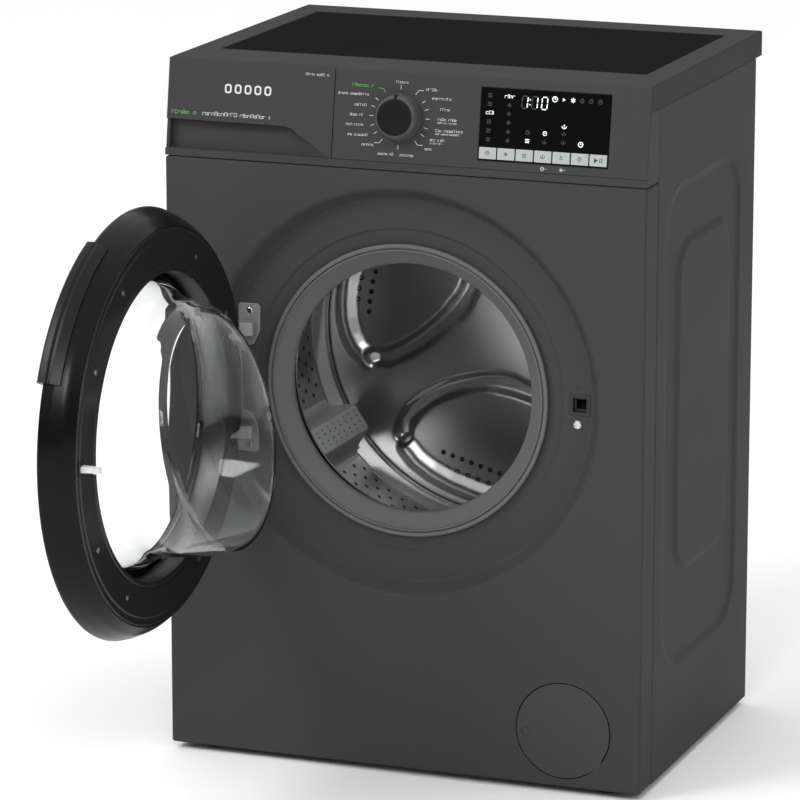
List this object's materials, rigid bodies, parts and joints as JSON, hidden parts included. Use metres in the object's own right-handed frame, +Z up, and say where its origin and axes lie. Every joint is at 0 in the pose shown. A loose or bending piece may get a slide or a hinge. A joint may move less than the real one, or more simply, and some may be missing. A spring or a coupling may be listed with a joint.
{
  "type": "front load washing machine",
  "caption": "Front-loading washing machine with a hinged porthole door, detergent drawer, selector dial, key row, spinning drum and belt drive on a sprung tub.",
  "frame": {"origin": "on the floor under the middle of the cabinet", "axes": "+X to the right seen from the front, the front faces -Y, +Z up"},
  "size_m": [0.6, 0.952, 0.851],
  "materials": {
    "cabinet_enamel": "satin grey-black enamel",
    "fascia_plastic": "satin grey-black plastic",
    "steel_sheet": "galvanised sheet",
    "zinc_steel": "galvanised sheet",
    "foot_rubber": "matte",
    "worktop_plastic": "fine-grained grey-black",
    "worktop_laminate": "black laminate on chipboard",
    "black_plastic": "matte black",
    "window_black": "gloss black",
    "key_plastic": "pale grey",
    "dial_plastic": "satin black on a grey skirt",
    "white_plastic": "white",
    "cover_plastic": "satin grey-black",
    "lock_plastic": "pale grey",
    "hinge_zinc": "cast zinc",
    "steel_bright": "ground steel",
    "tub_plastic": "filled polypropylene",
    "counterweight_stone": "cast concrete",
    "drum_steel": "stainless steel",
    "lifter_plastic": "pale grey",
    "spider_alloy": "cast",
    "belt_rubber": "ribbed",
    "hose_rubber": "matte",
    "gasket_rubber": "soft grey",
    "spring_steel": "zinc plated",
    "damper_plastic": "natural",
    "door_black": "gloss black",
    "door_frame_plastic": "satin black",
    "door_glass": "clear"
  },
  "bodies": {
    "cabinet": {"side_panel_left": "cabinet_enamel", "side_panel_right": "cabinet_enamel", "front_panel": "cabinet_enamel", "rear_panel": "steel_sheet", "rear_access_cover": "steel_sheet", "base_tray": "zinc_steel", "levelling_feet": "foot_rubber", "worktop_frame": "worktop_plastic", "worktop_insert": "worktop_laminate", "mains_gland": "black_plastic", "control_panel": "fascia_plastic", "display_window": "window_black", "control_board": "black_plastic", "dispenser_housing": "white_plastic", "inlet_valve": "white_plastic", "door_lock": "lock_plastic", "hinge_bracket": "hinge_zinc", "hinge_pin": "steel_bright", "pump_filter_housing": "black_plastic", "drain_pump": "black_plastic", "damper_cylinders": "damper_plastic", "suspension_springs": "spring_steel", "door_gasket": "gasket_rubber", "dispenser_hose": "hose_rubber", "sump_hose": "hose_rubber"},
    "tub": {"tub_front": "tub_plastic", "tub_rear": "tub_plastic", "counterweight_front": "counterweight_stone", "counterweight_top": "counterweight_stone", "heater": "steel_bright", "drum_bearings": "steel_bright", "motor_housing": "black_plastic", "damper_rods": "steel_bright", "drive_belt": "belt_rubber"},
    "drum": {"drum_shell": "drum_steel", "drum_back": "drum_steel", "drum_lifters": "lifter_plastic", "drum_spider": "spider_alloy", "drum_shaft": "steel_bright", "drum_pulley": "black_plastic"},
    "motor_rotor": {"motor_rotor": "steel_bright", "motor_pulley": "steel_bright"},
    "door": {"door_front_ring": "door_black", "door_rear_ring": "door_frame_plastic", "door_glass": "door_glass", "door_grip": "door_frame_plastic", "hinge_leaf": "hinge_zinc"},
    "latch_hook": {"latch_hook": "lock_plastic"},
    "detergent_drawer": {"drawer_front": "fascia_plastic", "drawer_tray": "white_plastic"},
    "selector_knob": {"selector_knob": "dial_plastic"},
    "filter_cover": {"filter_cover": "cover_plastic"},
    "filter_plug": {"filter_plug": "white_plastic"},
    "key_temperature": {"key_temperature": "key_plastic"},
    "key_spin": {"key_spin": "key_plastic"},
    "key_option": {"key_option": "key_plastic"},
    "key_extra_rinse": {"key_extra_rinse": "key_plastic"},
    "key_fast": {"key_fast": "key_plastic"},
    "key_delay": {"key_delay": "key_plastic"},
    "key_start_pause": {"key_start_pause": "key_plastic"}
  },
  "joints": [
    {"name": "door_hinge", "type": "hinge", "parent": "cabinet", "child": "door", "pos_m": [-0.228, -0.2336, 0.469], "axis": [0, 0, -1], "range_deg": [-91, 39]},
    {"name": "latch_pivot", "type": "hinge", "parent": "door", "child": "latch_hook", "pos_m": [-0.2012, -0.6781, 0.469], "axis": [0, 0, 1], "range_deg": [-6, 6], "stiffness_Nm_per_rad": 0.05},
    {"name": "drawer_slide", "type": "slide", "parent": "cabinet", "child": "detergent_drawer", "axis": [0, -1, 0], "range_m": [0, 0.2]},
    {"name": "tub_float", "type": "slide", "parent": "cabinet", "child": "tub", "axis": [0, 0, 1], "range_m": [-0.008, 0.006], "stiffness_N_per_m": 40000, "springref_m": 0.00728, "deforming": ["suspension_springs", "door_gasket", "dispenser_hose", "sump_hose"]},
    {"name": "drum_spin", "type": "hinge", "parent": "tub", "child": "drum", "pos_m": [0, 0, 0.469], "axis": [0, 1, 0], "continuous": true},
    {"name": "motor_spin", "type": "hinge", "parent": "tub", "child": "motor_rotor", "pos_m": [0.12, 0, 0.165], "axis": [0, 1, 0], "continuous": true},
    {"name": "selector_turn", "type": "hinge", "parent": "cabinet", "child": "selector_knob", "pos_m": [-0.0055, -0.2067, 0.7979], "axis": [0, -0.988, 0.1547], "continuous": true},
    {"name": "key_temperature_press", "type": "slide", "parent": "cabinet", "child": "key_temperature", "axis": [0, 0.988, -0.1547], "range_m": [0, 0.001], "stiffness_N_per_m": 800},
    {"name": "key_spin_press", "type": "slide", "parent": "cabinet", "child": "key_spin", "axis": [0, 0.988, -0.1547], "range_m": [0, 0.001], "stiffness_N_per_m": 800},
    {"name": "key_option_press", "type": "slide", "parent": "cabinet", "child": "key_option", "axis": [0, 0.988, -0.1547], "range_m": [0, 0.001], "stiffness_N_per_m": 800},
    {"name": "key_extra_rinse_press", "type": "slide", "parent": "cabinet", "child": "key_extra_rinse", "axis": [0, 0.988, -0.1547], "range_m": [0, 0.001], "stiffness_N_per_m": 800},
    {"name": "key_fast_press", "type": "slide", "parent": "cabinet", "child": "key_fast", "axis": [0, 0.988, -0.1547], "range_m": [0, 0.001], "stiffness_N_per_m": 800},
    {"name": "key_delay_press", "type": "slide", "parent": "cabinet", "child": "key_delay", "axis": [0, 0.988, -0.1547], "range_m": [0, 0.001], "stiffness_N_per_m": 800},
    {"name": "key_start_pause_press", "type": "slide", "parent": "cabinet", "child": "key_start_pause", "axis": [0, 0.988, -0.1547], "range_m": [0, 0.001], "stiffness_N_per_m": 800},
    {"name": "filter_cover_hinge", "type": "hinge", "parent": "cabinet", "child": "filter_cover", "pos_m": [0.2622, -0.2152, 0.077], "axis": [0, 0, 1], "range_deg": [0, 100]},
    {"name": "filter_plug_turn", "type": "hinge", "parent": "cabinet", "child": "filter_plug", "pos_m": [0.204, -0.18, 0.077], "axis": [0, -1, 0], "range_deg": [0, 90]}
  ],
  "couplings": [
    {"joint": "motor_spin", "follows": "drum_spin", "ratio": 11.667}
  ]
}
